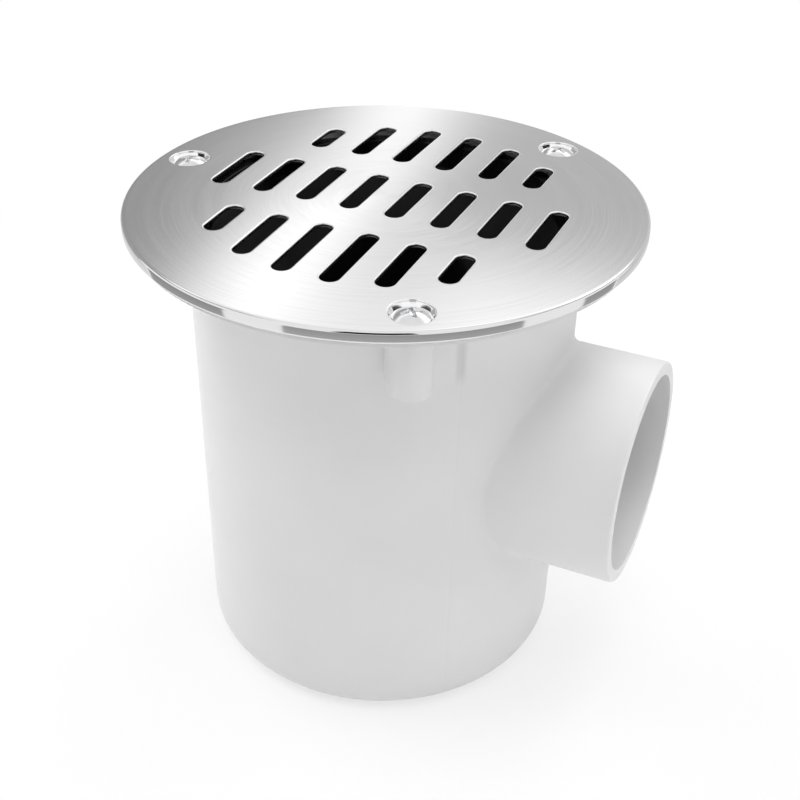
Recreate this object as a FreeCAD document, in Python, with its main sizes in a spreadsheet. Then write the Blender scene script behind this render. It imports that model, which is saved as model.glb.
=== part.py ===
import FreeCAD, Part
import math
import os
import Sketcher

# Drum trap with a slotted floor cover, in millimetres.
# The origin is the centre of the flat base, on the drum's axis.
# Z points up and X points out of the side outlet; the cover's slots run along Y.

# Driving dimensions, kept in the sheet under these names
driving_sizes = {
    # Pressed cover, which sets the size of the drum below it
    "cover_radius": 63.5,
    "cover_crown": 1.2,
    "sheet_thickness": 1.0,
    "rim_height": 3.0,
    "rim_edge_radius": 0.7,
    # Slots of the cover, over the drum's mouth
    "slot_width": 4.7,
    "slot_pitch": 11.75,
    "slot_inset": 0.4,
    "middle_slot_length": 21.4,
    "row_bridge": 9.5,
    # Raised countersunk screws and the dimples they sit in
    "screw_inset": 8.0,
    "screw_head_radius": 4.2,
    "screw_head_rise": 1.3,
    "screw_shank_radius": 2.1,
    "screw_length": 16.0,
    "screw_point": 1.0,
    "recess_width": 1.1,
    "recess_span": 4.6,
    "recess_depth": 1.7,
    "dimple_margin": 0.8,
    "dimple_shoulder": 0.4,
    "hole_clearance": 0.3,
    "thread_clearance": 0.05,
    "screw_seat_clearance": 0.1,
    # Moulded drum
    "drum_height": 125.0,
    "drum_draft": 0.5,
    "drum_wall": 3.2,
    "floor_thickness": 3.6,
    "foot_radius": 7.2,
    "inner_foot_radius": 1.6,
    # Top flange inside the cover's rim, and the seat of the insert
    "flange_clearance": 0.4,
    "flange_thickness": 3.3,
    "flange_fillet": 3.0,
    "seat_width": 2.0,
    "seat_depth": 3.6,
    # Screw bosses on the outside of the drum
    "boss_offset": 6.9,
    "boss_radius": 5.0,
    "boss_floor": 1.2,
    "tip_room": 1.0,
    # Side outlet: a hub with a socket for a 50 mm pipe and a stop behind it
    "outlet_height": 66.2,
    "hub_length": 22.4,
    "hub_wall": 3.3,
    "socket_radius": 25.2,
    "socket_depth": 24.0,
    "pipe_stop": 2.0,
    "outlet_fillet": 1.8,
    "mouth_round": 0.5,
    # Dip-tube insert and its rubber ring
    "insert_wall": 1.6,
    "insert_rim_thickness": 1.4,
    "collar_height": 6.0,
    "funnel_drop": 10.0,
    "tube_radius": 21.6,
    "tube_floor_gap": 10.0,
    "seal_thickness": 0.8,
    "fit_clearance": 0.3,
}

screw_angles = (180, 60, -60)
edge_tolerance = 1e-4

doc = FreeCAD.newDocument("drum_trap")
sheet = doc.addObject("Spreadsheet::Sheet", "sizes")
for row, (alias, value) in enumerate(driving_sizes.items(), start=1):
    sheet.set(f"A{row}", alias)
    sheet.set(f"B{row}", str(value))
    sheet.setAlias(f"B{row}", alias)
gauge = doc.addObject("App::VarSet", "gauge")
gauge.addProperty("App::PropertyFloat", "reading")
doc.recompute()

# Radii that follow the cover, from its rim inwards
flange_radius = "(sizes.cover_radius - sizes.sheet_thickness - sizes.flange_clearance)"
screw_circle = "(sizes.cover_radius - sizes.screw_inset)"
drum_top_radius = f"({screw_circle} - sizes.boss_offset)"
drum_base_radius = f"({drum_top_radius} - sizes.drum_draft)"
bore_radius = f"({drum_top_radius} - sizes.drum_wall)"
seat_radius = f"({bore_radius} + sizes.seat_width)"
slot_circle = f"({bore_radius} - sizes.slot_inset)"

# Side outlet
outlet_reach = f"({drum_top_radius} + sizes.hub_length)"
outlet_radius = "(sizes.socket_radius + sizes.hub_wall)"
pipe_stop_radius = "(sizes.socket_radius - sizes.pipe_stop)"

# Heights from the drum's top edge
flange_bottom = "(sizes.drum_height - sizes.flange_thickness)"
seat_floor = "(sizes.drum_height - sizes.seat_depth)"
cover_top = "(sizes.drum_height + sizes.sheet_thickness)"

# Screw dimples: a short shoulder, a cone at 45 degrees and a hole
crown_share = f"(1 - ({screw_circle} / sizes.cover_radius)^2)"
dimple_top = f"({cover_top} + sizes.cover_crown * {crown_share})"
dimple_radius = "(sizes.screw_head_radius + sizes.dimple_margin)"
hole_radius = "(sizes.screw_shank_radius + sizes.hole_clearance)"
cone_top = f"({dimple_top} - sizes.dimple_shoulder)"
dimple_foot = f"({cone_top} - {dimple_radius} + {hole_radius})"
dimple_foot_radius = f"({hole_radius} + sqrt(2) * sizes.sheet_thickness)"
dimple_back_radius = f"({dimple_radius} + (sqrt(2) - 1) * sizes.sheet_thickness)"
screw_seat = f"({cone_top} - sizes.dimple_margin + sizes.screw_seat_clearance)"
screw_tip = f"({screw_seat} - sizes.screw_length)"
boss_bottom = f"({screw_tip} - sizes.tip_room - sizes.boss_floor)"


# Reads the present value of an expression
def measure(expression):
    gauge.setExpression("reading", expression)
    gauge.recompute()
    return gauge.reading


def point(across, up):
    return FreeCAD.Vector(measure(across), measure(up), 0)


def near(first, second):
    return abs(first - second) < edge_tolerance


def origin_feature(body, role):
    return next(item for item in body.Origin.OriginFeatures if item.Role == role)


def new_body(name):
    body = doc.addObject("PartDesign::Body", name)
    body.Label = name
    return body


def new_sketch(body, name, role, lift=None):
    sketch = body.newObject("Sketcher::SketchObject", name)
    sketch.AttachmentSupport = (origin_feature(body, role), [""])
    sketch.MapMode = "FlatFace"
    if lift:
        sketch.setExpression("AttachmentOffset.Base.z", lift)
    return sketch


def bind(sketch, constraint, expression):
    index = sketch.addConstraint(constraint)
    sketch.setExpression(f"Constraints[{index}]", expression)


# Holds one sketch point at two sizes measured from the sketch's origin
def locate(sketch, geometry, vertex, across, up):
    start = sketch.getPoint(geometry, vertex)
    if across == "0":
        sketch.addConstraint(Sketcher.Constraint("PointOnObject", geometry, vertex, -2))
    else:
        bind(sketch, Sketcher.Constraint("DistanceX", -1, 1, geometry, vertex, start.x), across)
    if up == "0":
        sketch.addConstraint(Sketcher.Constraint("PointOnObject", geometry, vertex, -1))
    else:
        bind(sketch, Sketcher.Constraint("DistanceY", -1, 1, geometry, vertex, start.y), up)


# Adds a chain of lines through corners given as pairs of sizes; the chain's end is left free
def add_lines(sketch, corners):
    points = [point(*corner) for corner in corners]
    lines = [sketch.addGeometry(Part.LineSegment(*ends)) for ends in zip(points[:-1], points[1:])]
    for line, following in zip(lines[:-1], lines[1:]):
        sketch.addConstraint(Sketcher.Constraint("Coincident", line, 2, following, 1))
    for line, corner in zip(lines, corners):
        locate(sketch, line, 1, *corner)
    return lines


# Adds an arc centred on the upright axis, from its foot on the right to its top on the axis
def add_dome(sketch, across, up, rise):
    radius = measure(across)
    height = measure(rise)
    bend = (radius ** 2 + height ** 2) / (2 * height)
    centre = FreeCAD.Vector(0, measure(up) + height - bend, 0)
    whole = Part.Circle(centre, FreeCAD.Vector(0, 0, 1), bend)
    upright = math.pi / 2
    dome = sketch.addGeometry(Part.ArcOfCircle(whole, upright - math.asin(radius / bend), upright))
    sketch.addConstraint(Sketcher.Constraint("PointOnObject", dome, 3, -2))
    return dome


# Adds a slot with round ends between two end centres given as pairs of sizes
def add_slot(sketch, low, high, end_radius):
    low_centre = point(*low)
    high_centre = point(*high)
    radius = measure(end_radius)
    along = (high_centre - low_centre).normalize()
    side = FreeCAD.Vector(-along.y, along.x, 0) * radius
    normal = FreeCAD.Vector(0, 0, 1)
    turn = math.atan2(along.y, along.x)
    quarter = math.pi / 2
    low_circle = Part.Circle(low_centre, normal, radius)
    high_circle = Part.Circle(high_centre, normal, radius)
    first = sketch.addGeometry(Part.ArcOfCircle(low_circle, turn + quarter, turn + 3 * quarter))
    sketch.addGeometry(Part.LineSegment(low_centre - side, high_centre - side))
    sketch.addGeometry(Part.ArcOfCircle(high_circle, turn - quarter, turn + quarter))
    sketch.addGeometry(Part.LineSegment(high_centre + side, low_centre + side))
    for step in range(4):
        here = first + step
        after = first + (step + 1) % 4
        sketch.addConstraint(Sketcher.Constraint("Tangent", here, 2, after, 1))
    sketch.addConstraint(Sketcher.Constraint("Equal", first, first + 2))
    locate(sketch, first, 3, *low)
    locate(sketch, first + 2, 3, *high)
    bind(sketch, Sketcher.Constraint("Radius", first, radius), end_radius)


# A sketch with one closed outline of straight lines
def outline(body, name, corners, role="XZ_Plane", lift=None):
    sketch = new_sketch(body, name, role, lift)
    lines = add_lines(sketch, corners + corners[:1])
    sketch.addConstraint(Sketcher.Constraint("Coincident", lines[-1], 2, lines[0], 1))
    return sketch


# A sketch across the outlet's axis with one circle
def outlet_circle(body, name, radius, lift=None):
    sketch = new_sketch(body, name, "YZ_Plane", lift)
    centre = ("0", "sizes.outlet_height")
    ring = sketch.addGeometry(Part.Circle(point(*centre), FreeCAD.Vector(0, 0, 1), measure(radius)))
    locate(sketch, ring, 3, *centre)
    bind(sketch, Sketcher.Constraint("Radius", ring, measure(radius)), radius)
    return sketch


# An outline with the first screw's axis in it, and its corners measured from that axis
def screw_outline(body, name, corners):
    sketch = outline(body, name, [(f"-{screw_circle} + {across}", up) for across, up in corners])
    ends = [(f"-{screw_circle}", flange_bottom), (f"-{screw_circle}", cover_top)]
    axis = sketch.addGeometry(Part.LineSegment(*[point(*end) for end in ends]), True)
    for vertex, end in enumerate(ends, start=1):
        locate(sketch, axis, vertex, *end)
    return sketch


def revolve(body, name, sketch, kind="PartDesign::Revolution", axis="V_Axis"):
    feature = body.newObject(kind, name)
    feature.Profile = sketch
    feature.ReferenceAxis = (sketch, [axis])
    feature.Angle = 360
    return feature


def extrude(body, name, sketch, length, kind="PartDesign::Pad"):
    feature = body.newObject(kind, name)
    feature.Profile = sketch
    feature.setExpression("Length", length)
    return feature


# Repeats features of the first screw at the others
def repeat_at_screws(body, name, originals):
    pattern = body.newObject("PartDesign::PolarPattern", name)
    pattern.Originals = originals
    pattern.Axis = (origin_feature(body, "Z_Axis"), [""])
    pattern.Angle = 360
    pattern.Occurrences = len(screw_angles)
    body.Tip = pattern
    return pattern


# Rounds the edges of the body's last feature that pass a test on their points
def fillet(body, name, radius, belongs):
    doc.recompute()
    base = body.Tip
    names = []
    for number, edge in enumerate(base.Shape.Edges, start=1):
        if not edge.Degenerated and all(belongs(place) for place in edge.discretize(7)):
            names.append(f"Edge{number}")
    if not names:
        raise RuntimeError(f"no edge found for {name}")
    feature = body.newObject("PartDesign::Fillet", name)
    feature.Base = (base, names)
    feature.setExpression("Radius", radius)
    body.Tip = feature
    return feature


# Rounds the edge that runs round the drum's axis at one radius and height
def fillet_ring(body, name, radius, ring_radius, height):
    ring = measure(ring_radius)
    level = measure(height)

    def on_ring(place):
        return near(place.z, level) and near(math.hypot(place.x, place.y), ring)

    return fillet(body, name, radius, on_ring)


# Drum: turned outside with its flange, outlet hub, bosses, then the cavity, socket and screw holes
def make_drum():
    body = new_body("drum_body")
    outside = outline(body, "drum_outside", [
        ("0", "0"),
        (drum_base_radius, "0"),
        (drum_top_radius, flange_bottom),
        (flange_radius, flange_bottom),
        (flange_radius, "sizes.drum_height"),
        ("0", "sizes.drum_height"),
    ])
    revolve(body, "drum_blank", outside)
    extrude(body, "outlet_hub", outlet_circle(body, "hub_outside", outlet_radius), outlet_reach)

    hub_radius = measure(outlet_radius)
    hub_height = measure("sizes.outlet_height")
    hub_end = measure(outlet_reach)

    def on_hub_root(place):
        across = math.hypot(place.y, place.z - hub_height)
        return near(across, hub_radius) and not near(place.x, hub_end)

    def on_hub_mouth(place):
        across = math.hypot(place.y, place.z - hub_height)
        return near(across, hub_radius) and near(place.x, hub_end)

    fillet(body, "hub_root_fillet", "sizes.outlet_fillet", on_hub_root)
    fillet(body, "hub_mouth_round", "sizes.mouth_round", on_hub_mouth)
    fillet_ring(body, "foot_round", "sizes.foot_radius", drum_base_radius, "0")
    fillet_ring(body, "flange_root_fillet", "sizes.flange_fillet", drum_top_radius, flange_bottom)

    boss = new_sketch(body, "boss_plan", "XY_Plane", boss_bottom)
    add_slot(boss, (f"-{screw_circle}", "0"), (f"-{bore_radius}", "0"), "sizes.boss_radius")
    first_boss = extrude(body, "screw_boss", boss, f"{flange_bottom} - {boss_bottom}")
    repeat_at_screws(body, "screw_bosses", [first_boss])

    inner_base_radius = f"({drum_base_radius} - sizes.drum_wall)"
    cavity = outline(body, "cavity_section", [
        ("0", "sizes.floor_thickness"),
        (inner_base_radius, "sizes.floor_thickness"),
        (bore_radius, seat_floor),
        (seat_radius, seat_floor),
        (seat_radius, "sizes.drum_height"),
        ("0", "sizes.drum_height"),
    ])
    revolve(body, "cavity", cavity, "PartDesign::Groove")
    socket = outlet_circle(body, "socket_plan", "sizes.socket_radius", outlet_reach)
    extrude(body, "pipe_socket", socket, "sizes.socket_depth", "PartDesign::Pocket")
    passage = outlet_circle(body, "passage_plan", pipe_stop_radius, outlet_reach)
    extrude(body, "outlet_passage", passage, outlet_reach, "PartDesign::Pocket")
    fillet_ring(body, "cavity_round", "sizes.inner_foot_radius", inner_base_radius, "sizes.floor_thickness")

    recess_radius = f"({dimple_back_radius} + sizes.fit_clearance)"
    recess_floor = f"({dimple_foot} - sizes.fit_clearance)"
    thread_radius = "(sizes.screw_shank_radius + sizes.thread_clearance)"
    hole_bottom = f"({screw_tip} - sizes.tip_room)"
    hole = screw_outline(body, "screw_hole_section", [
        ("0", hole_bottom),
        (thread_radius, hole_bottom),
        (thread_radius, recess_floor),
        (dimple_foot_radius, recess_floor),
        (recess_radius, f"{recess_floor} + {recess_radius} - {dimple_foot_radius}"),
        (recess_radius, dimple_top),
        ("0", dimple_top),
    ])
    first_hole = revolve(body, "screw_hole", hole, "PartDesign::Groove", "Axis0")
    repeat_at_screws(body, "screw_holes", [first_hole])
    return body


# Even number of slot columns, spaced about the middle, whose centre lines lie within a reach
def columns_within(reach):
    return 2 * math.floor(measure(reach) / measure("sizes.slot_pitch") + 1 / 2)


# Cover: crowned sheet with a turned-down rim, dimples for the screw heads and three rows of slots
def make_cover():
    body = new_body("grate_cover")
    section = new_sketch(body, "sheet_section", "XZ_Plane")
    inside_radius = "(sizes.cover_radius - sizes.sheet_thickness)"
    rim_bottom = f"({cover_top} - sizes.rim_height)"
    rim = add_lines(section, [
        ("sizes.cover_radius", cover_top),
        ("sizes.cover_radius", rim_bottom),
        (inside_radius, rim_bottom),
        (inside_radius, "sizes.drum_height"),
    ])
    locate(section, rim[-1], 2, inside_radius, "sizes.drum_height")
    under_middle = ("0", "sizes.drum_height + sizes.cover_crown")
    top_middle = ("0", f"{cover_top} + sizes.cover_crown")
    middle = add_lines(section, [under_middle, top_middle])[0]
    locate(section, middle, 2, *top_middle)
    top_arc = add_dome(section, "sizes.cover_radius", cover_top, "sizes.cover_crown")
    under_arc = add_dome(section, inside_radius, "sizes.drum_height", "sizes.cover_crown")
    for join in (
        (top_arc, 1, rim[0], 1),
        (top_arc, 2, middle, 2),
        (under_arc, 1, rim[-1], 2),
        (under_arc, 2, middle, 1),
    ):
        section.addConstraint(Sketcher.Constraint("Coincident", *join))
    revolve(body, "crowned_sheet", section)
    fillet_ring(body, "rim_bend", "sizes.rim_edge_radius", "sizes.cover_radius", cover_top)

    inside_sheet = f"({dimple_top} - sizes.sheet_thickness / 2)"
    back = screw_outline(body, "dimple_back_section", [
        ("0", dimple_foot),
        (dimple_foot_radius, dimple_foot),
        (dimple_back_radius, f"{dimple_foot} + {dimple_back_radius} - {dimple_foot_radius}"),
        (dimple_back_radius, inside_sheet),
        ("0", inside_sheet),
    ])
    first_back = revolve(body, "dimple_back", back, axis="Axis0")
    below_foot = f"({dimple_foot} - sizes.sheet_thickness)"
    above_dimple = f"({dimple_top} + sizes.sheet_thickness)"
    seat = screw_outline(body, "head_seat_section", [
        ("0", below_foot),
        (hole_radius, below_foot),
        (hole_radius, dimple_foot),
        (dimple_radius, cone_top),
        (dimple_radius, above_dimple),
        ("0", above_dimple),
    ])
    first_seat = revolve(body, "head_seat", seat, "PartDesign::Groove", "Axis0")
    repeat_at_screws(body, "screw_dimples", [first_back, first_seat])

    above_sheet = f"({cover_top} + sizes.cover_crown + sizes.sheet_thickness)"
    below_sheet = "(sizes.drum_height - sizes.sheet_thickness)"
    slot_depth = f"{above_sheet} - {below_sheet}"
    end_radius = "(sizes.slot_width / 2)"
    middle_columns = columns_within(f"{slot_circle} - {end_radius}")
    middle_row = new_sketch(body, "middle_slot", "XY_Plane", above_sheet)
    first_column = f"-{(middle_columns - 1) / 2} * sizes.slot_pitch"
    reach = "(sizes.middle_slot_length - sizes.slot_width) / 2"
    add_slot(middle_row, (first_column, f"-{reach}"), (first_column, reach), end_radius)
    first_slot = extrude(body, "middle_slot_cut", middle_row, slot_depth, "PartDesign::Pocket")
    pattern = body.newObject("PartDesign::LinearPattern", "middle_row")
    pattern.Originals = [first_slot]
    pattern.Direction = (origin_feature(body, "X_Axis"), [""])
    pattern.setExpression("Length", f"{middle_columns - 1} * sizes.slot_pitch")
    pattern.Occurrences = middle_columns
    body.Tip = pattern

    # The outer rows end on the slot circle, and each slot is at least twice as long as it is wide
    row_start = "(sizes.middle_slot_length / 2 + sizes.row_bridge)"
    shortest_end = f"({row_start} + 2 * sizes.slot_width)"
    outer_columns = columns_within(f"sqrt({slot_circle}^2 - {shortest_end}^2)")
    outer_row = new_sketch(body, "outer_slots", "XY_Plane", above_sheet)
    for index in range(outer_columns):
        column = f"{index - (outer_columns - 1) / 2} * sizes.slot_pitch"
        start = f"{row_start} + {end_radius}"
        end = f"sqrt({slot_circle}^2 - ({column})^2) - {end_radius}"
        add_slot(outer_row, (column, start), (column, end), end_radius)
    outer_cut = extrude(body, "outer_slots_cut", outer_row, slot_depth, "PartDesign::Pocket")
    other_side = body.newObject("PartDesign::Mirrored", "outer_rows")
    other_side.Originals = [outer_cut]
    other_side.MirrorPlane = (origin_feature(body, "XZ_Plane"), [""])
    body.Tip = other_side
    return body


# Screw: raised countersunk head with a cross recess, plain shank and a short point
def make_screw(number, angle):
    body = new_body(f"cover_screw_{number}")
    section = new_sketch(body, f"screw_section_{number}", "XZ_Plane")
    shank = "sizes.screw_shank_radius"
    head_edge = ("sizes.screw_head_radius", "0")
    sides = add_lines(section, [
        ("0", "sizes.screw_head_rise"),
        ("0", "-sizes.screw_length"),
        (f"{shank} - sizes.screw_point / 2", "-sizes.screw_length"),
        (shank, "-sizes.screw_length + sizes.screw_point"),
        (shank, f"{shank} - sizes.screw_head_radius"),
        head_edge,
    ])
    locate(section, sides[-1], 2, *head_edge)
    dome = add_dome(section, *head_edge, "sizes.screw_head_rise")
    section.addConstraint(Sketcher.Constraint("Coincident", dome, 1, sides[-1], 2))
    section.addConstraint(Sketcher.Constraint("Coincident", dome, 2, sides[0], 1))
    revolve(body, f"screw_blank_{number}", section)

    arm = "sizes.recess_span / 2"
    side = "sizes.recess_width / 2"
    quarter = [(arm, side), (side, side), (side, arm)]
    half = quarter + [(f"-{across}", up) for across, up in reversed(quarter)]
    cross = half + [(across, f"-{up}") for across, up in reversed(half)]
    recess = outline(body, f"recess_plan_{number}", cross, "XY_Plane", "sizes.screw_head_rise")
    extrude(body, f"cross_recess_{number}", recess, "sizes.recess_depth", "PartDesign::Pocket")
    body.Placement = FreeCAD.Placement(
        FreeCAD.Vector(0, 0, 0), FreeCAD.Rotation(FreeCAD.Vector(0, 0, 1), angle)
    )
    body.setExpression("Placement.Base.x", f"{screw_circle} * cos({angle} deg)")
    body.setExpression("Placement.Base.y", f"{screw_circle} * sin({angle} deg)")
    body.setExpression("Placement.Base.z", screw_seat)
    return body


def make_screws():
    group = doc.addObject("Part::Compound", "cover_screws")
    group.Label = "cover_screws"
    group.Links = [make_screw(number, angle) for number, angle in enumerate(screw_angles, start=1)]
    return group


# Insert: rim on the seal, collar in the drum's mouth, funnel and dip tube
def make_insert():
    body = new_body("trap_insert")
    rim_bottom = f"({seat_floor} + sizes.seal_thickness)"
    rim_top = f"({rim_bottom} + sizes.insert_rim_thickness)"
    rim_radius = f"({seat_radius} - sizes.fit_clearance)"
    collar = f"({bore_radius} - sizes.fit_clearance)"
    collar_inside = f"({collar} - sizes.insert_wall)"
    tube_inside = "(sizes.tube_radius - sizes.insert_wall)"
    collar_bottom = f"({rim_bottom} - sizes.collar_height)"
    tube_top = f"({collar_bottom} - sizes.funnel_drop)"
    tube_end = "(sizes.floor_thickness + sizes.tube_floor_gap)"
    section = outline(body, "insert_section", [
        (rim_radius, rim_top),
        (collar_inside, rim_top),
        (collar_inside, f"{collar_bottom} + sizes.insert_wall"),
        (tube_inside, f"{tube_top} + sizes.insert_wall"),
        (tube_inside, tube_end),
        ("sizes.tube_radius", tube_end),
        ("sizes.tube_radius", tube_top),
        (collar, collar_bottom),
        (collar, rim_bottom),
        (rim_radius, rim_bottom),
    ])
    revolve(body, "insert_turned", section)
    return body


# Flat rubber ring on the seat, under the insert's rim
def make_seal():
    body = new_body("insert_seal")
    outside = f"{seat_radius} - sizes.fit_clearance"
    seal_top = f"{seat_floor} + sizes.seal_thickness"
    section = outline(body, "seal_section", [
        (bore_radius, seat_floor),
        (outside, seat_floor),
        (outside, seal_top),
        (bore_radius, seal_top),
    ])
    revolve(body, "seal_ring", section)
    return body


sub_parts = [make_drum(), make_cover(), make_screws(), make_insert(), make_seal()]
doc.recompute()

for item in doc.Objects:
    if "Invalid" in item.State or "Error" in item.State:
        raise RuntimeError(f"{item.Label} failed: {item.State}")
for sub_part in sub_parts:
    if sub_part.Shape.isNull() or not sub_part.Shape.isValid():
        raise RuntimeError(f"{sub_part.Label} has no valid shape")

os.makedirs("parts", exist_ok=True)
for sub_part in sub_parts:
    sub_part.Shape.exportStep(f"parts/{sub_part.Label}.step")
    solids = len(sub_part.Shape.Solids)
    print(f"{sub_part.Label}: {solids} solids, {sub_part.Shape.Volume / 1000:.2f} cm3")
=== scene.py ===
import math
import bmesh
import bpy
import numpy as np
from mathutils import Matrix, Vector
from mathutils.geometry import delaunay_2d_cdt


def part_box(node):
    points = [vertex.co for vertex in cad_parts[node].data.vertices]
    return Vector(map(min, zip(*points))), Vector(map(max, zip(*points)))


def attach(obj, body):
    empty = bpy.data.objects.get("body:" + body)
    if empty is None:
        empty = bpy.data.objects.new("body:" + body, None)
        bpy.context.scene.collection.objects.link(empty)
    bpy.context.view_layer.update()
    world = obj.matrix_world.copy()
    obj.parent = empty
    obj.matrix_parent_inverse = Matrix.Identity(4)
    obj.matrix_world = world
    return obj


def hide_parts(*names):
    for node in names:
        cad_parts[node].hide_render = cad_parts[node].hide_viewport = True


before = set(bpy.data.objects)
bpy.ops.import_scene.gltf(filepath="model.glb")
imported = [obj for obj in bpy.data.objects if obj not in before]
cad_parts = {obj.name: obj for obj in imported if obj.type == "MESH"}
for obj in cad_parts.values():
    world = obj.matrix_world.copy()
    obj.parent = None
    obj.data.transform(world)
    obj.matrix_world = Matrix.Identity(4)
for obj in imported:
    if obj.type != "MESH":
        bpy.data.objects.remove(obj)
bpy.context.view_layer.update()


# Shader helpers

class Wire:
    # one node's output; arithmetic on it adds Math nodes
    def __init__(self, finish, socket):
        self.finish, self.socket = finish, socket

    def math(self, operation, *others):
        return self.finish.math(operation, self, *others)

    def __add__(self, other):
        return self.math("ADD", other)

    def __mul__(self, other):
        return self.math("MULTIPLY", other)

    __radd__, __rmul__ = __add__, __mul__

    def __sub__(self, other):
        return self.math("SUBTRACT", other)

    def __rsub__(self, other):
        return self.finish.math("SUBTRACT", other, self)

    def __truediv__(self, other):
        return self.math("DIVIDE", other)

    def __rtruediv__(self, other):
        return self.finish.math("DIVIDE", other, self)

    def __pow__(self, other):
        return self.math("POWER", other)

    def __abs__(self):
        return self.math("ABSOLUTE")

    def __neg__(self):
        return self.math("MULTIPLY", -1.0)


class Finish:
    # the nodes of one material or world
    def __init__(self, owner):
        owner.use_nodes = True
        self.tree = owner.node_tree
        self.tree.nodes.clear()

    def node(self, kind, settings=None, inputs=(), output=0):
        # settings come first, then a value or a link for each socket
        made = self.tree.nodes.new(kind)
        for name, value in (settings or {}).items():
            setattr(made, name, value)
        pairs = inputs.items() if isinstance(inputs, dict) else enumerate(inputs)
        for key, value in pairs:
            if isinstance(value, Wire):
                self.tree.links.new(value.socket, made.inputs[key])
            else:
                made.inputs[key].default_value = value
        return Wire(self, made.outputs[output]) if made.outputs else None

    def math(self, operation, *values):
        return self.node("ShaderNodeMath", {"operation": operation}, values)

    def objectPlace(self):
        place = self.node("ShaderNodeTexCoord", output="Object")
        return place, [self.node("ShaderNodeSeparateXYZ", {}, [place], name) for name in "XYZ"]

    def attribute(self, name):
        return self.node("ShaderNodeAttribute", {"attribute_name": name}, output="Fac")

    def vector(self, x, y, z):
        return self.node("ShaderNodeCombineXYZ", {}, [x, y, z])

    def noise(self, place, scale, detail=2.0, roughness=0.5):
        inputs = {"Vector": place, "Scale": scale, "Detail": detail, "Roughness": roughness}
        return self.node("ShaderNodeTexNoise", {}, inputs)

    def ramp(self, value, low, high, start=0.0, end=1.0):
        settings = {"interpolation_type": "SMOOTHSTEP"}
        return self.node("ShaderNodeMapRange", settings, [value, low, high, start, end])

    def swing(self, noise, half, start=0.0, end=1.0):
        # goes from start to end while the noise crosses its middle by half on each side
        return self.ramp(noise, 0.5 - half, 0.5 + half, start, end)

    def distance(self, x, y):
        return (x * x + y * y) ** 0.5

    def blend(self, share, first, second):
        return self.node("ShaderNodeMix", {"data_type": "RGBA"}, {0: share, 6: first, 7: second}, 2)

    def bump(self, height, distance, strength=1.0, normal=None):
        inputs = {"Height": height, "Distance": distance, "Strength": strength}
        if normal:
            inputs["Normal"] = normal
        return self.node("ShaderNodeBump", {}, inputs)

    def surface(self, shader):
        self.node("ShaderNodeOutputMaterial", {}, {"Surface": shader})

    def principled(self, inputs):
        self.surface(self.node("ShaderNodeBsdfPrincipled", {}, inputs))


def newMaterial(name):
    material = bpy.data.materials.new(name)
    return material, Finish(material)


def shade(level):
    return (level, level, level, 1.0)


# Mesh helpers

def gridFaces(rows, columns, wrapRows=False, wrapColumns=False):
    # quads of a grid whose corners are numbered row by row
    row, column = np.meshgrid(np.arange(rows if wrapRows else rows - 1),
                              np.arange(columns if wrapColumns else columns - 1), indexing="ij")
    nextRow, nextColumn = (row + 1) % rows, (column + 1) % columns
    corners = [row * columns + column, row * columns + nextColumn,
               nextRow * columns + nextColumn, nextRow * columns + column]
    return np.stack(corners, -1).reshape(-1, 4)


def rounded(corners, steps):
    # corners hold across, up and a radius; each corner with a radius becomes an arc that touches both sides
    table = np.array(corners, float)
    points = []
    for index, (across, up, radius) in enumerate(table):
        here = np.array([across, up])
        if radius == 0.0:
            points.append(here[None])
            continue
        before = table[index - 1, :2] - here
        after = table[(index + 1) % len(table), :2] - here
        before, after = before / np.linalg.norm(before), after / np.linalg.norm(after)
        half = 0.5 * math.acos(np.clip(before @ after, -1.0, 1.0))
        middle = here + (before + after) / np.linalg.norm(before + after) * radius / math.sin(half)
        reach = radius / math.tan(half)
        start, end = here + before * reach - middle, here + after * reach - middle
        first = math.atan2(start[1], start[0])
        turn = (math.atan2(end[1], end[0]) - first + math.pi) % (2 * math.pi) - math.pi
        angles = first + turn * np.linspace(0, 1, steps + 1)
        points.append(middle + radius * np.stack([np.cos(angles), np.sin(angles)], -1))
    return np.concatenate(points)


def turned(profile, steps, closed=False):
    # radius and height carried round the upright axis
    angles = np.linspace(0, 2 * math.pi, steps, endpoint=False)
    radius, height = profile[:, :1], profile[:, 1:]
    points = np.stack([radius * np.cos(angles), radius * np.sin(angles), height + 0 * angles], -1)
    return points.reshape(-1, 3), gridFaces(len(profile), steps, closed, True)


def addValues(mesh, name, values):
    layer = mesh.attributes.new(name, "FLOAT", "POINT")
    layer.data.foreach_set("value", np.ascontiguousarray(values, np.float32).ravel())


def buildPiece(name, blocks, node, material, weld=1e-6):
    # each block holds points and faces, and may hold for each point a value for the painted edge highlights
    # and cut-end glints
    starts = np.cumsum([0] + [len(block[0]) for block in blocks[:-1]])
    points = np.concatenate([block[0] for block in blocks])
    faces = sum([(block[1] + start).tolist() for block, start in zip(blocks, starts)], [])
    edgeGlintValues = [block[2] if len(block) > 2 else np.zeros(len(block[0])) for block in blocks]
    mesh = bpy.data.meshes.new(name)
    mesh.from_pydata(points.tolist(), [], faces)
    addValues(mesh, "edgeGlints", np.concatenate(edgeGlintValues))
    shell = bmesh.new()
    shell.from_mesh(mesh)
    bmesh.ops.remove_doubles(shell, verts=shell.verts, dist=weld)
    bmesh.ops.recalc_face_normals(shell, faces=shell.faces)
    shell.to_mesh(mesh)
    shell.free()
    mesh.shade_smooth()
    mesh.materials.append(material)
    piece = bpy.data.objects.new(name, mesh)
    bpy.context.scene.collection.objects.link(piece)
    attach(piece, "root")
    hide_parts(node)
    print("built", name, len(mesh.polygons), "faces")


# Moulded drum, the CAD node itself

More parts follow.
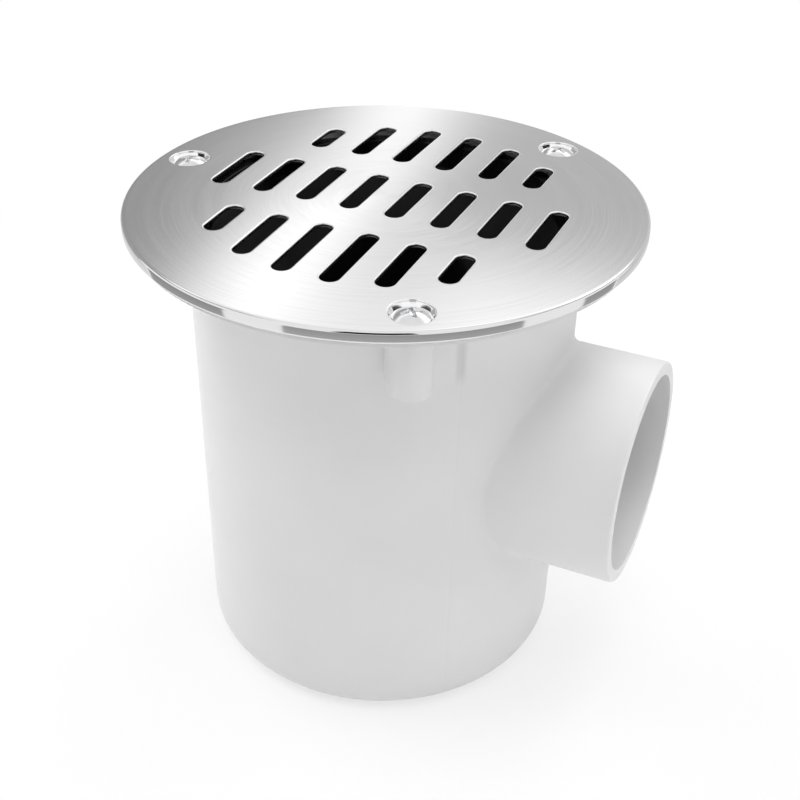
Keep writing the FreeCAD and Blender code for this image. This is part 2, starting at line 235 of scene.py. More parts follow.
pvc = {
    "darkTone": 0.79, "lightTone": 0.82, "cloudScale": 28.0, "cloudDetail": 3.0, "toneSwing": 0.2,
    "smooth": 0.36, "rough": 0.46, "roughSwing": 0.3, "specular": 0.45,
    "grainScale": 2600.0, "grainDepth": 0.00003, "grainStrength": 0.35,
    "seamTurn": -45.2, "seamHalf": 0.0006, "seamDepth": 0.00006,
    # the last four values place and darken the patch of painted shade under the flange
    "paintedShadeTone": 0.69, "paintedShadeSide": (0.0004, 0.0018), "paintedShadeMiddle": 0.1085, "paintedShadeEnd": (0.0027, 0.0077),
}


def pvcFinish():
    material, finish = newMaterial("whitePvc")
    place, (x, y, z) = finish.objectPlace()
    cloud = finish.noise(place, pvc["cloudScale"], pvc["cloudDetail"])
    grain = finish.noise(place, pvc["grainScale"])
    pale = finish.swing(cloud, pvc["toneSwing"])
    tone = finish.blend(pale, shade(pvc["darkTone"]), shade(pvc["lightTone"]))
    normal = finish.bump(grain, pvc["grainDepth"], pvc["grainStrength"])
    # mould line: a shallow groove where an upright plane through the drum's axis cuts the wall;
    # beside it, just under the flange, a small patch of painted shade darkens the colour
    turn = math.radians(pvc["seamTurn"])
    away = abs(x * math.sin(turn) - y * math.cos(turn))
    normal = finish.bump(finish.ramp(away, 0.0, pvc["seamHalf"]), pvc["seamDepth"], 1.0, normal)
    beside = finish.ramp(away, *pvc["paintedShadeSide"], 1.0, 0.0)
    along = finish.ramp(abs(z - pvc["paintedShadeMiddle"]), *pvc["paintedShadeEnd"], 1.0, 0.0)
    # painted shade: the colour darkens in a small patch under the flange beside the mould line
    tone = finish.blend(beside * along, tone, shade(pvc["paintedShadeTone"]))
    rough = finish.swing(cloud, pvc["roughSwing"], pvc["smooth"], pvc["rough"])
    finish.principled({
        "Base Color": tone, "Roughness": rough, "Normal": normal, "Specular IOR Level": pvc["specular"]})
    return material


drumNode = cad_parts["drum_body"]
drumNode.data.materials.clear()
drumNode.data.materials.append(pvcFinish())
print("drum painted")


# Slotted cover

coverLow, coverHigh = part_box("grate_cover")
cover = {
    "radius": coverHigh.x, "top": coverHigh.z, "bottom": coverLow.z, "crown": 0.0012, "sheet": 0.001,
    "bend": 0.0008, "rimEdge": 0.0008, "rimInnerEdge": 0.00015, "rimInnerCorner": 0.0002,
    "slotWidth": 0.0047, "slotPitch": 0.01175, "slotEdge": 0.00028, "lowerEdge": 0.00015,
    "middleCount": 8, "middleHalf": 0.0107, "outerCount": 6, "rowStart": 0.0202, "slotCircle": 0.0450,
    "beadPeak": 0.4, "cutNarrow": 4,
    "dimpleRadius": 0.0050, "dimpleLip": 0.0003, "dimpleWall": 0.0004, "dimpleDrop": 0.0030,
    "holeRadius": 0.0024, "dimpleBack": 0.000414, "backSlant": 1.414, "backStep": 0.0003,
    "shoulderCorner": 0.00015, "dimpleCorner": 0.0001, "holeCorner": 0.00008,
    "land": 0.00025, "underLand": 0.0002, "skinGrid": 0.0022, "skinRow": 0.866, "skinClear": 0.45,
    "capSteps": 18, "sideStep": 0.0015, "wallSteps": 6, "dishSteps": 5, "skirtSteps": 7,
    "rimSteps": 240, "dimpleSteps": 64,
}
screwAngles = np.radians([180.0, 60.0, -60.0])
screwCircle = 0.0555
screwCentres = screwCircle * np.stack([np.cos(screwAngles), np.sin(screwAngles)], -1)
# where the smooth skins begin above and below the sheet: past a slot, round a dimple and inside the rim
underSpare = cover["land"] + cover["underLand"]
topLimits = {
    "slot": cover["slotEdge"] + cover["land"],
    "dish": cover["dimpleRadius"] + cover["dimpleLip"] + cover["land"],
    "rim": cover["radius"] - cover["bend"] - cover["land"],
}
underLimits = {
    "slot": cover["lowerEdge"] + cover["land"],
    "dish": cover["dimpleRadius"] + cover["dimpleBack"] + underSpare,
    "rim": cover["radius"] - cover["sheet"] - underSpare,
}
steel = {
    # the bright edge tone paints a highlight along the slot edges
    "darkBrush": 0.55, "lightBrush": 0.60, "paintedEdgeHighlight": 0.90, "rimTone": 0.78, "seatTone": 0.93,
    # the cut tone and its dulling make a matt grey that paints a glint on the slot ends
    "cutGlintTone": 0.28, "cutDulling": 0.85,
    "smooth": 0.185, "rough": 0.21, "polish": 0.10, "beadRough": 0.16, "swing": 0.25,
    "rimFrom": 0.0009, "rimFull": 0.0004, "seatFade": 0.0002,
    "ringScale": 5200.0, "ringAround": 2.4, "ringDetail": 3.0, "ringRough": 0.6,
    "bandScale": 420.0, "bandAround": 0.8, "ringDepth": 0.000006, "ringStrength": 0.15,
    "anisotropic": 0.5, "brushTurn": 0.25, "tiny": 1e-6,
}


def steelFinish():
    # brushed in rings, polished on the rim and in the screw seats, with painted highlights on slot edges and
    # painted glints on the matt cut ends
    material, finish = newMaterial("brushedSteel")
    _, (x, y, _) = finish.objectPlace()
    radius = finish.distance(x, y)
    # never divided by 0, so the middle stays finite
    divisor = radius + steel["tiny"]
    east, north = x / divisor, y / divisor
    ringAround, bandAround, swing = steel["ringAround"], steel["bandAround"], steel["swing"]
    ringPlace = finish.vector(radius * steel["ringScale"], east * ringAround, north * ringAround)
    bandPlace = finish.vector(radius * steel["bandScale"], east * bandAround, north * bandAround)
    rings = finish.noise(ringPlace, 1.0, steel["ringDetail"], steel["ringRough"])
    bands = finish.noise(bandPlace, 1.0)
    edgeGlints = finish.attribute("edgeGlints")
    gaps = [finish.distance(x - seatX, y - seatY) for seatX, seatY in screwCentres.tolist()]
    nearest = gaps[0].math("MINIMUM", gaps[1]).math("MINIMUM", gaps[2])
    seatEdge, rim = cover["dimpleRadius"], cover["radius"]
    seat = finish.ramp(nearest, seatEdge, seatEdge + steel["seatFade"], 1.0, 0.0)
    polished = finish.ramp(radius, rim - steel["rimFrom"], rim - steel["rimFull"]) + seat
    mattCutGlint = finish.ramp(-edgeGlints, 0.0, 1.0)
    tone = finish.blend(finish.swing(rings, swing), shade(steel["darkBrush"]), shade(steel["lightBrush"]))
    # painted highlight: the rounded slot edges are lightened
    tone = finish.blend(edgeGlints, tone, shade(steel["paintedEdgeHighlight"]))
    tone = finish.blend(polished, tone, shade(steel["rimTone"]))
    tone = finish.blend(seat, tone, shade(steel["seatTone"]))
    # matt grey on the cut ends, strongest mid-end: partly a real matt cut wall, partly a painted glint
    tone = finish.blend(mattCutGlint, tone, shade(steel["cutGlintTone"]))
    rough = finish.swing(bands, swing, steel["smooth"], steel["rough"])
    rough = rough + polished * (steel["polish"] - rough)
    rough = rough + edgeGlints.math("MAXIMUM", 0.0) * (1.0 - polished) * steel["beadRough"]
    normal = finish.bump(rings * (1.0 - polished), steel["ringDepth"], steel["ringStrength"])
    finish.principled({
        "Base Color": tone, "Metallic": 1.0 - steel["cutDulling"] * mattCutGlint,
        "Roughness": rough, "Normal": normal,
        "Anisotropic": steel["anisotropic"], "Anisotropic Rotation": steel["brushTurn"]})
    return material


def domeHeight(x, y=0.0):
    # top of a sphere that falls by the crown from the middle to the cover's edge
    sphere = (cover["radius"] ** 2 + cover["crown"] ** 2) / (2 * cover["crown"])
    return cover["top"] - sphere + np.sqrt(sphere ** 2 - x ** 2 - y ** 2)


def slotList():
    # rows of middle x, lower end centre and upper end centre
    half = 0.5 * cover["slotWidth"]
    middle, outer = [(np.arange(count) - 0.5 * (count - 1)) * cover["slotPitch"]
                     for count in (cover["middleCount"], cover["outerCount"])]
    end = 0 * middle + cover["middleHalf"] - half
    start = 0 * outer + cover["rowStart"] + half
    reach = np.sqrt(cover["slotCircle"] ** 2 - outer ** 2) - half
    rows = [(middle, -end, end), (outer, start, reach), (outer, -reach, -start)]
    return np.concatenate([np.stack(row, -1) for row in rows])


def slotPath(row):
    # two half circles joined by straight sides: points on the slot's edge and directions into the metal
    x, low, high = row
    sideSteps = max(2, int(round((high - low) / cover["sideStep"])))
    cap = np.linspace(0, math.pi, cover["capSteps"] + 1)
    rise = np.linspace(low, high, sideSteps + 1)[1:-1]
    angles = np.concatenate([cap, np.full(len(rise), math.pi), cap + math.pi, np.zeros(len(rise))])
    middles = np.concatenate([np.full(len(cap), high), rise[::-1], np.full(len(cap), low), rise])
    outward = np.stack([np.cos(angles), np.sin(angles)], -1)
    spine = np.stack([np.full(len(middles), x), middles], -1)
    return spine + outward * 0.5 * cover["slotWidth"], outward


def sweptEdge(path, outward, profile, cut):
    # offset and depth of the profile carried along a closed path, hung from the dome;
    # a value above 0 marks the edge that gets a painted highlight, and below 0 the matt cut wall,
    # which is strongest in the middle of a slot's ends, where its grey paints a glint
    edge = cover["slotEdge"]
    offset, depth = profile[:, 0, None], profile[:, 1, None]
    x, y = path[:, 0] + offset * outward[:, 0], path[:, 1] + offset * outward[:, 1]
    points = np.stack([x, y, domeHeight(x, y) - depth], -1)
    edgeGlints = np.clip(1.0 - np.abs(depth - cover["beadPeak"] * edge) / edge, 0, 1) * (depth > 0) + 0 * x
    # the middle of each slot end gets the most, and there the matt grey paints a glint
    mattCutGlint = cut * outward[:, 1] ** cover["cutNarrow"] * np.clip((depth - edge) / edge, 0, 1)
    return points.reshape(-1, 3), gridFaces(len(profile), len(path), False, True), (edgeGlints - mattCutGlint).ravel()


def slotProfile():
    edge, lower, sheet = cover["slotEdge"], cover["lowerEdge"], cover["sheet"]
    corners = [(topLimits["slot"], 0, 0), (0, 0, edge), (0, sheet, lower), (underLimits["slot"], sheet, 0)]
    return rounded(corners, cover["wallSteps"])


def dishProfile():
    # from the flat over the lip, down a short wall and a cone to the hole, and back up under the sheet
    lip, radius, hole, sheet = cover["dimpleLip"], cover["dimpleRadius"], cover["holeRadius"], cover["sheet"]
    shoulder, drop, corner = cover["dimpleWall"], cover["dimpleDrop"], cover["dimpleCorner"]
    back = radius + cover["dimpleBack"]
    corners = [
        (topLimits["dish"], 0, 0), (radius, 0, lip), (radius, shoulder + corner, cover["shoulderCorner"]),
        (hole, shoulder + radius - hole, corner), (hole, drop, cover["holeCorner"]),
        (hole + sheet * cover["backSlant"], drop, corner), (back, sheet + cover["backStep"], corner),
        (back, sheet, corner), (underLimits["dish"], sheet, 0)]
    return rounded(corners, cover["dishSteps"])


def skirtProfile():
    # over the rounded edge, down the turned rim, round its foot and up inside
    rim, bottom, sheet = cover["radius"], cover["bottom"], cover["sheet"]
    inside = rim - sheet
    corners = [
        (topLimits["rim"], domeHeight(topLimits["rim"]), 0), (rim, domeHeight(rim), cover["bend"]),
        (rim, bottom, cover["rimEdge"]), (inside, bottom, cover["rimInnerEdge"]),
        (inside, domeHeight(inside) - sheet, cover["rimInnerCorner"]),
        (underLimits["rim"], domeHeight(underLimits["rim"]) - sheet, 0)]
    return rounded(corners, cover["skirtSteps"])


def holeLoop(block, count, row):
    return block[0].reshape(-1, count, 3)[row, :, :2]


def clearance(slots, limits):
    # distance from the nearest loop, negative inside a hole or beyond the edge
    def distance(points):
        x, y = points[:, :1], points[:, 1:]
        beyond = np.clip(y, slots[:, 1], slots[:, 2]) - y
        slotGap = np.hypot(x - slots[:, 0], beyond).min(1) - 0.5 * cover["slotWidth"] - limits["slot"]
        dishGap = np.hypot(x - screwCentres[:, 0], y - screwCentres[:, 1]).min(1) - limits["dish"]
        return np.minimum(np.minimum(slotGap, dishGap), limits["rim"] - np.hypot(points[:, 0], points[:, 1]))
    return distance


def skin(outerLoop, holeLoops, drop, keepOut, tolerance=1e-9):
    # triangles between the outer loop and the holes, with a staggered grid of points between
    reach, step = cover["radius"], cover["skinGrid"]
    columns, rows = np.arange(-reach, reach, step), np.arange(-reach, reach, step * cover["skinRow"])
    across, up = np.meshgrid(columns, rows)
    across = across + 0.5 * step * (np.arange(len(across)) % 2)[:, None]
    grid = np.stack([across.ravel(), up.ravel()], -1)
    grid = grid[keepOut(grid) > cover["skinClear"] * step]
    loops = [outerLoop] + holeLoops
    starts = np.cumsum([0] + [len(loop) for loop in loops[:-1]])
    edges = [np.stack([np.arange(len(loop)), np.roll(np.arange(len(loop)), -1)], -1) + start
             for loop, start in zip(loops, starts)]
    flat = [Vector(point) for point in np.concatenate(loops + [grid])]
    made = delaunay_2d_cdt(flat, np.concatenate(edges).tolist(), [], 0, tolerance)
    points, faces = np.array([tuple(point) for point in made[0]]), np.array(made[2])
    faces = faces[keepOut(points[faces].mean(1)) > 0.0]
    points = np.concatenate([points, (domeHeight(*points.T) - drop)[:, None]], -1)
    return points, faces


def coverBlocks():
    # slots with cut walls and dimples without, the skirt, and the skins between them
    slots = slotList()
    ring = np.linspace(0, 2 * math.pi, cover["dimpleSteps"], endpoint=False)
    circle = np.stack([np.cos(ring), np.sin(ring)], -1)
    wall, dish = slotProfile(), dishProfile()
    edges = [(*slotPath(row), wall, 1.0) for row in slots]
    edges += [(centre + 0 * circle, circle, dish, 0.0) for centre in screwCentres]
    blocks, topLoops, underLoops = [], [], []
    for path, outward, profile, cut in edges:
        block = sweptEdge(path, outward, profile, cut)
        blocks.append(block)
        topLoops.append(holeLoop(block, len(path), 0))
        underLoops.append(holeLoop(block, len(path), -1))
    skirt = turned(skirtProfile(), cover["rimSteps"])
    outerTop, outerUnder = holeLoop(skirt, cover["rimSteps"], 0), holeLoop(skirt, cover["rimSteps"], -1)
    top = skin(outerTop, topLoops, 0.0, clearance(slots, topLimits))
    under = skin(outerUnder, underLoops, cover["sheet"], clearance(slots, underLimits))
    return blocks + [skirt, top, under]


buildPiece("coverPlate", coverBlocks(), "grate_cover", steelFinish())


# Screws

screwLow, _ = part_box("cover_screws")
screw = {
    "headRadius": 0.0042, "headRim": 0.125183, "headRise": 0.0013, "headGrid": 97,
    "shankRadius": 0.0021, "tip": screwLow.z, "point": 0.001, "corner": 0.0002, "cornerSteps": 3,
    "recessSpan": 0.0046, "recessWidth": 0.0011, "recessDepth": 0.0011, "recessTurn": 0.17,
    "recessDraft": 0.00022, "recessShallow": 0.45,
    "darkTone": (0.70, 0.70, 0.71, 1.0), "lightTone": (0.76, 0.76, 0.77, 1.0), "smooth": 0.14, "rough": 0.22,
    "wearScale": 900.0, "wearDetail": 3.0, "wearSwing": 0.2, "wearDepth": 0.00001, "wearStrength": 0.2,
}


def chromeFinish():
    material, finish = newMaterial("brightScrews")
    place, _ = finish.objectPlace()
    wear = finish.noise(place, screw["wearScale"], screw["wearDetail"])
    finish.principled({
        "Base Color": finish.blend(wear, screw["darkTone"], screw["lightTone"]), "Metallic": 1.0,
        "Roughness": finish.swing(wear, screw["wearSwing"], screw["smooth"], screw["rough"]),
        "Normal": finish.bump(wear, screw["wearDepth"], screw["wearStrength"])})
    return material


def pressedToDisc(u, v):
    # a square from -1 to 1 pressed into a disc of radius 1
    return u * np.sqrt(1 - 0.5 * v ** 2), v * np.sqrt(1 - 0.5 * u ** 2)


def screwHead(twist):
    # a square grid pressed into a disc: a dome that falls with the radius squared, with a cross sunk into it
    count, radius = screw["headGrid"], screw["headRadius"]
    side = np.linspace(-1, 1, count)
    x, y = [radius * part for part in pressedToDisc(*np.meshgrid(side, side, indexing="ij"))]
    across, along = x * math.cos(twist) + y * math.sin(twist), y * math.cos(twist) - x * math.sin(twist)
    span, width = 0.5 * screw["recessSpan"], 0.5 * screw["recessWidth"]
    first = np.maximum(np.abs(across) - span, np.abs(along) - width)
    second = np.maximum(np.abs(along) - span, np.abs(across) - width)
    sunk = np.clip(-np.minimum(first, second) / screw["recessDraft"], 0, 1)
    sunk = sunk * sunk * (3 - 2 * sunk) * (1 - screw["recessShallow"] * np.hypot(x, y) / span)
    dome = screw["headRim"] + screw["headRise"] * (1 - (x ** 2 + y ** 2) / radius ** 2)
    points = np.stack([x, y, dome - screw["recessDepth"] * sunk], -1).reshape(-1, 3)
    return points, gridFaces(count, count)


def screwShank():
    # cone, shank and point carried round the head's own rim points, so that head and cone share their seam
    count = screw["headGrid"]
    side, end = np.linspace(-1, 1, count)[:-1], np.ones(count - 1)
    ringU = np.concatenate([side, end, -side, -end])
    ringV = np.concatenate([-end, side, end, -side])
    ringX, ringY = pressedToDisc(ringU, ringV)
    head, shank, rim = screw["headRadius"], screw["shankRadius"], screw["headRim"]
    tip, point, corner = screw["tip"], screw["point"], screw["corner"]
    corners = [(head, rim, 0), (shank, rim - (head - shank), corner), (shank, tip + point, corner),
               (shank - point, tip, corner), (0, tip, 0)]
    profile = rounded(corners, screw["cornerSteps"])
    radius, height = profile[:, 0, None], profile[:, 1, None]
    points = np.stack([radius * ringX, radius * ringY, height + 0 * ringX], -1)
    return points.reshape(-1, 3), gridFaces(len(profile), len(ringX), False, True)


def screwBlocks():
    blocks = []
    for centre, angle in zip(screwCentres, screwAngles):
        shift = np.array([centre[0], centre[1], 0.0])
        for points, faces in (screwHead(angle + screw["recessTurn"]), screwShank()):
            blocks.append((points + shift, faces))
    return blocks


buildPiece("coverScrews", screwBlocks(), "cover_screws", chromeFinish())


# Dip-tube insert and its seal

insertLow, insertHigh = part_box("trap_insert")
insert = {
    "rimRadius": insertHigh.x, "rimTop": insertHigh.z, "rimThickness": 0.0014, "wall": 0.0016,
    "collarRadius": 0.0451, "collarFoot": 0.1162,
    "tubeRadius": 0.0216, "tubeTop": 0.1062, "tubeFoot": insertLow.z,
    "floorLift": 0.42, "rimCorner": 0.0004, "underCorner": 0.0003, "tubeEnd": 0.0005,
    "collarBend": 0.0012, "tubeBend": 0.0030, "innerTubeBend": 0.0020, "innerCollarBend": 0.0008,
    "cornerSteps": 6, "turnSteps": 192,
    "tone": 0.012, "rough": 0.62, "rubbedRough": 0.30, "rubbedFrom": 0.1172,
}
sealLow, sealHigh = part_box("insert_seal")
seal = {
    "outer": sealHigh.x, "inner": 0.0454, "top": sealHigh.z, "foot": sealLow.z, "corner": 0.0002,
    "cornerSteps": 4, "turnSteps": 160,
    "tone": 0.016, "rough": 0.6, "rubbedRough": 0.6, "rubbedFrom": sealHigh.z,
}
dark = {
    "grainScale": 1400.0, "grainDepth": 0.00003, "grainStrength": 0.3, "toneChange": 0.2,
    "roughChange": 0.06, "roughSwing": 0.2, "rubbedFade": 0.0008, "specular": 0.2,
}


def darkFinish(name, piece):
    # matt, and smoother above the height where the piece is rubbed
    material, finish = newMaterial(name)
    place, (_, _, z) = finish.objectPlace()
    grain = finish.noise(place, dark["grainScale"])
    fade, change, level = dark["rubbedFade"], dark["roughChange"], piece["tone"]
    rubbed = finish.ramp(z, piece["rubbedFrom"] - fade, piece["rubbedFrom"] + fade)
    rough = finish.swing(grain, dark["roughSwing"], piece["rough"] - change, piece["rough"] + change)
    tones = shade(level * (1 - dark["toneChange"])), shade(level * (1 + dark["toneChange"]))
    finish.principled({
        "Base Color": finish.blend(grain, *tones),
        "Roughness": rough + rubbed * (piece["rubbedRough"] - piece["rough"]),
        "Normal": finish.bump(grain, dark["grainDepth"], dark["grainStrength"]),
        "Specular IOR Level": dark["specular"]})
    return material


def insertProfile():
    # rim, collar, sloping floor and tube, down the outside and up the inside
    wall, rim, top = insert["wall"], insert["rimRadius"], insert["rimTop"]
    collar, tube = insert["collarRadius"], insert["tubeRadius"]
    under, tubeTop, tubeFoot = top - insert["rimThickness"], insert["tubeTop"], insert["tubeFoot"]
    lift = wall * insert["floorLift"]
    rimCorner, underCorner, tubeEnd = insert["rimCorner"], insert["underCorner"], insert["tubeEnd"]
    corners = [
        (collar - wall, top, rimCorner), (rim, top, rimCorner), (rim, under, underCorner),
        (collar, under, underCorner), (collar, insert["collarFoot"], insert["collarBend"]),
        (tube, tubeTop, insert["tubeBend"]), (tube, tubeFoot, tubeEnd), (tube - wall, tubeFoot, tubeEnd),
        (tube - wall, tubeTop + lift, insert["innerTubeBend"]),
        (collar - wall, insert["collarFoot"] + lift, insert["innerCollarBend"])]
    return rounded(corners, insert["cornerSteps"])


def sealProfile():
    inner, outer, foot, top, corner = seal["inner"], seal["outer"], seal["foot"], seal["top"], seal["corner"]
    corners = [(inner, foot, corner), (outer, foot, corner), (outer, top, corner), (inner, top, corner)]
    return rounded(corners, seal["cornerSteps"])


insertBlocks = [turned(insertProfile(), insert["turnSteps"], closed=True)]
sealBlocks = [turned(sealProfile(), seal["turnSteps"], closed=True)]
buildPiece("trapInsert", insertBlocks, "trap_insert", darkFinish("darkPlastic", insert))
buildPiece("sealRing", sealBlocks, "insert_seal", darkFinish("sealRubber", seal))


# Studio

studio = {
    "middle": (0.0, 0.0, 0.126), "skyDiffuse": 0.35, "floorSize": 8.0, "floorLevel": 0.97,
    "nearRadius": 0.10, "farRadius": 0.32, "nearWhite": 0.64, "cardDistance": 2.5,
}
lamps = {
    "topLamp": {"azimuth": 114.0, "lift": 85.0, "distance": 0.75, "size": (0.95, 0.95), "watts": 0.94},
    "frontTopLamp": {"azimuth": -60.0, "lift": 70.0, "distance": 0.7, "size": (0.4, 0.4), "watts": 1.45},
    "backTopLamp": {"azimuth": 60.0, "lift": 60.0, "distance": 0.9, "size": (0.6, 0.6), "watts": 2.75},
    "leftBackLamp": {"azimuth": -200.0, "lift": 22.0, "distance": 1.0, "size": (0.6, 0.6), "watts": 2.95},
    "leftLamp": {"azimuth": -165.0, "lift": 30.0, "distance": 1.0, "size": (0.6, 0.6), "watts": 2.90},
    "rightLamp": {"azimuth": 16.0, "lift": 14.0, "distance": 1.0, "size": (0.7, 0.5), "watts": 0.90},
    "rightFrontLamp": {"azimuth": -35.0, "lift": 25.0, "distance": 0.9, "size": (0.6, 0.6), "watts": 0.78},
}
# grey cards on the floor, which the rim mirrors: azimuths and level, with a fade along their reach
floorCards = {
    "spans": [((-235.0, -175.0), 0.80), ((-173.0, -129.4), 0.36), ((-104.0, -12.3), 0.40),
              ((17.3, 37.2), 0.38), ((39.0, 110.0), 0.72)],
    "reach": (0.175, 0.22, 0.30, 0.50, 1.40), "fade": (1.5, 1.12, 0.95, 0.8, 0.8),
    "height": 0.001, "columns": 25,
}
# the large card behind, which the cover mirrors; angles in degrees
backCard = {
    "span": (50.0, 178.0), "columns": 257, "lift": (-2.0, 72.0), "rows": 75,
    "left": 0.39, "leftRise": 0.04, "leftRiseLift": (18.0, 23.0), "leftTop": 0.9, "leftTopLift": (36.0, 44.0),
    "right": 0.68, "rightRise": 0.10, "rightRiseLift": (24.0, 31.0),
    "top": 0.70, "topLift": (29.5, 33.5), "topRight": 0.44, "topRightSpan": (107.0, 114.0),
    "gapAzimuth": 113.7, "gapFoot": 17.0, "gapBelow": -4.0, "gapLean": 0.25, "gapBend": 0.023, "gapEdge": 1.0,
    "gapLeft": 3.6, "gapSpread": 0.30, "gapNarrow": 0.0066, "gapRight": 3.9, "gapTaper": 0.06,
    "gapLevel": 1.08, "gapRise": 0.38, "gapRiseLift": (16.0, 24.0), "gapEndLift": (34.0, 40.0),
    "overhead": 0.95, "overheadLift": (46.0, 55.0),
}
# dark cards, for the front rim's black line and the dark spots in the screw seats
darkCards = {
    "frontCard": {"foot": (-86.0, -53.0), "head": (-86.0, -53.0), "lift": (4.0, 54.0)},
    "leftCard": {"foot": (-194.0, -180.0), "head": (-148.0, -122.0), "lift": (28.0, 54.0)},
    "rightCard": {"foot": (44.0, 61.0), "head": (-3.5, 17.0), "lift": (26.0, 53.0)},
}
darkCard = {"level": 0.02, "steps": 12}


def ease(value, limits):
    # smooth step from 0 at the first limit to 1 at the second
    low, high = limits
    share = np.clip((value - low) / (high - low), 0, 1)
    return share * share * (3 - 2 * share)


def dome(azimuth, elevation, distance):
    # part of a sphere round the cover's middle
    level, rise = np.radians(azimuth), np.radians(elevation)
    step = np.stack([np.cos(rise) * np.cos(level), np.cos(rise) * np.sin(level), np.sin(rise)], -1)
    return np.array(studio["middle"]) + distance * step


def lightPath(finish):
    rays = finish.node("ShaderNodeLightPath")
    return {name: Wire(finish, rays.socket.node.outputs[name])
            for name in ("Is Camera Ray", "Is Glossy Ray", "Is Transmission Ray")}


def buildWorld():
    world = bpy.data.worlds.new("studioWorld")
    bpy.context.scene.world = world
    finish = Finish(world)
    rays = lightPath(finish)
    seen = rays["Is Camera Ray"] + rays["Is Glossy Ray"] + rays["Is Transmission Ray"]
    strength = finish.ramp(seen, 0.0, 1.0, studio["skyDiffuse"], 1.0)
    backdrop = finish.node("ShaderNodeBackground", {}, [shade(1.0), strength])
    finish.node("ShaderNodeOutputWorld", {}, {"Surface": backdrop})


def buildFloor():
    # pale paint that keeps the shadow near the drum and turns white further out
    material, finish = newMaterial("paleFloor")
    _, (x, y, _) = finish.objectPlace()
    rays = lightPath(finish)
    away = finish.distance(x, y)
    far = finish.ramp(away, studio["nearRadius"], studio["farRadius"], studio["nearWhite"], 1.0)
    paint = finish.node("ShaderNodeBsdfDiffuse", {}, [shade(studio["floorLevel"])])
    white = finish.node("ShaderNodeEmission", {}, [shade(1.0), 1.0])
    seen = rays["Is Camera Ray"] + rays["Is Glossy Ray"]
    finish.surface(finish.node("ShaderNodeMixShader", {}, [far * seen, paint, white]))
    half = 0.5 * studio["floorSize"]
    corners = [(-half, -half, 0), (half, -half, 0), (half, half, 0), (-half, half, 0)]
    mesh = bpy.data.meshes.new("floor")
    mesh.from_pydata(corners, [], [(0, 1, 2, 3)])
    mesh.materials.append(material)
    floor = bpy.data.objects.new("floor", mesh)
    bpy.context.scene.collection.objects.link(floor)


def buildLamp(name, values):
    data = bpy.data.lights.new(name, "AREA")
    data.shape, data.energy = "RECTANGLE", values["watts"]
    data.size, data.size_y = values["size"]
    lamp = bpy.data.objects.new(name, data)
    place = Vector(dome(values["azimuth"], values["lift"], values["distance"]))
    turn = (Vector(studio["middle"]) - place).to_track_quat("-Z", "Y").to_matrix().to_4x4()
    lamp.matrix_world = Matrix.Translation(place) @ turn
    lamp.visible_glossy = False
    bpy.context.scene.collection.objects.link(lamp)


def cardFinish():
    material, finish = newMaterial("studioCard")
    finish.surface(finish.node("ShaderNodeEmission", {}, [finish.attribute("level"), 1.0]))
    return material


def buildCard(name, points, levels, material):
    # a card that only shiny surfaces see, with its level at each point
    rows, columns = levels.shape
    mesh = bpy.data.meshes.new(name)
    mesh.from_pydata(points.reshape(-1, 3).tolist(), [], gridFaces(rows, columns).tolist())
    addValues(mesh, "level", levels)
    mesh.materials.append(material)
    card = bpy.data.objects.new(name, mesh)
    bpy.context.scene.collection.objects.link(card)
    card.visible_camera = card.visible_diffuse = card.visible_shadow = card.visible_transmission = False


def backLevels(azimuth, elevation):
    # a slanting bright gap between a darker left side and a paler right side that brightens upwards;
    # the gap falls off with a cube on its left and a square on its right, and overhead all is one level
    card = backCard
    rise = np.maximum(elevation - card["gapFoot"], card["gapBelow"])
    offset = azimuth - card["gapAzimuth"] - card["gapLean"] * rise - card["gapBend"] * rise ** 2
    left = card["left"] + card["leftRise"] * ease(elevation, card["leftRiseLift"])
    left = left + card["leftTop"] * ease(elevation, card["leftTopLift"])
    top = card["top"] + card["topRight"] * (1 - ease(azimuth, card["topRightSpan"]))
    right = card["right"] + card["rightRise"] * ease(elevation, card["rightRiseLift"])
    right = right + top * ease(elevation, card["topLift"])
    climb = np.maximum(rise, 0.0)
    leftWidth = card["gapLeft"] + card["gapSpread"] * climb - card["gapNarrow"] * climb ** 2
    rightWidth = card["gapRight"] - card["gapTaper"] * climb
    fall = np.where(offset > 0, np.abs(offset / leftWidth) ** 3, (offset / rightWidth) ** 2)
    gap = card["gapLevel"] + card["gapRise"] * ease(elevation, card["gapRiseLift"])
    gap = gap * np.exp(-fall) * (1 - ease(elevation, card["gapEndLift"]))
    level = right + (left - right) * ease(offset, (-card["gapEdge"], card["gapEdge"])) + gap
    return level + (card["overhead"] - level) * ease(elevation, card["overheadLift"])


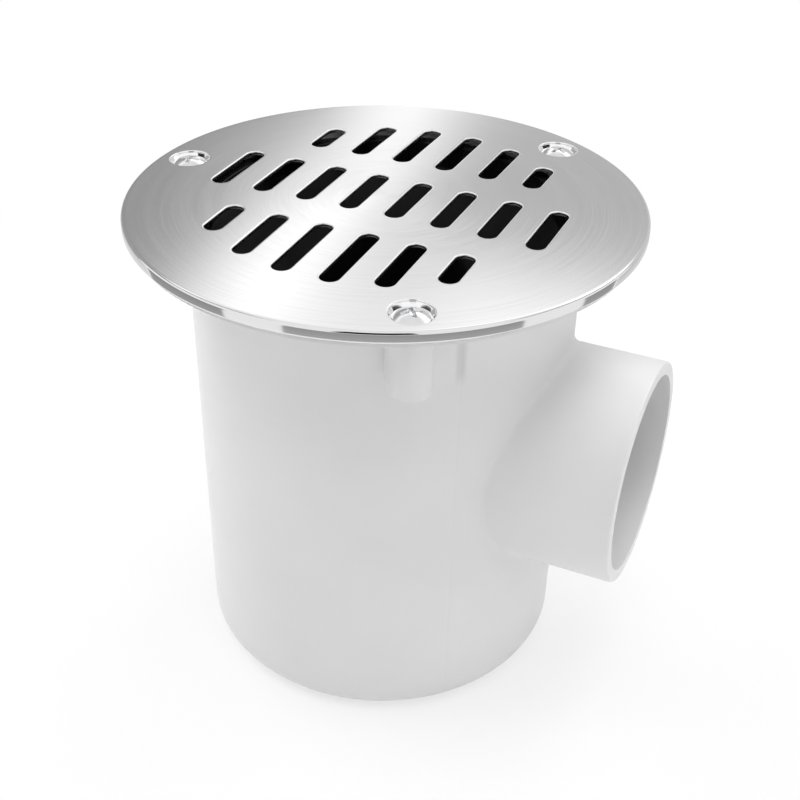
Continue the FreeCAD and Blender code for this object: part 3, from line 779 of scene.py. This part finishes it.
def buildCards():
    material, distance = cardFinish(), studio["cardDistance"]
    elevation, azimuth = np.meshgrid(np.linspace(*backCard["lift"], backCard["rows"]),
                                     np.linspace(*backCard["span"], backCard["columns"]), indexing="ij")
    buildCard("backCard", dome(azimuth, elevation, distance), backLevels(azimuth, elevation), material)
    for name, card in darkCards.items():
        # a strip that leans from its foot's azimuths to its head's
        steps = np.linspace(0, 1, darkCard["steps"])
        share, across = np.meshgrid(steps, steps, indexing="ij")
        start, end = (foot + share * (head - foot) for foot, head in zip(card["foot"], card["head"]))
        azimuth = start + across * (end - start)
        elevation = card["lift"][0] + share * (card["lift"][1] - card["lift"][0])
        buildCard(name, dome(azimuth, elevation, distance), 0 * azimuth + darkCard["level"], material)
    fade = np.array(floorCards["fade"])[:, None]
    for number, (span, level) in enumerate(floorCards["spans"]):
        angles = np.radians(np.linspace(*span, floorCards["columns"]))
        reach, azimuth = np.meshgrid(floorCards["reach"], angles, indexing="ij")
        height = 0 * reach + floorCards["height"]
        points = np.stack([reach * np.cos(azimuth), reach * np.sin(azimuth), height], -1)
        buildCard("floorCard%d" % number, points, 0 * reach + level * fade, material)


buildWorld()
buildFloor()
for lampName, lampValues in lamps.items():
    buildLamp(lampName, lampValues)
buildCards()
print("studio built")


# Camera

view = {
    "place": (0.11780, -0.26146, 0.25805), "target": (-0.00067, 0.01239, 0.0600), "roll": 1.222,
    "lens": 57.842, "sensor": 36.0, "near": 0.01, "far": 50.0,
}


def buildCamera():
    data = bpy.data.cameras.new("photoCamera")
    data.sensor_width, data.lens = view["sensor"], view["lens"]
    data.clip_start, data.clip_end = view["near"], view["far"]
    camera = bpy.data.objects.new("photoCamera", data)
    forward = (Vector(view["target"]) - Vector(view["place"])).normalized()
    right = forward.cross(Vector((0, 0, 1))).normalized()
    up = right.cross(forward)
    roll = math.radians(view["roll"])
    right, up = right * math.cos(roll) + up * math.sin(roll), up * math.cos(roll) - right * math.sin(roll)
    axes = Matrix((right, up, -forward)).transposed().to_4x4()
    camera.matrix_world = Matrix.Translation(view["place"]) @ axes
    bpy.context.scene.collection.objects.link(camera)
    bpy.context.scene.camera = camera


buildCamera()
bpy.context.scene.view_settings.view_transform = "Standard"
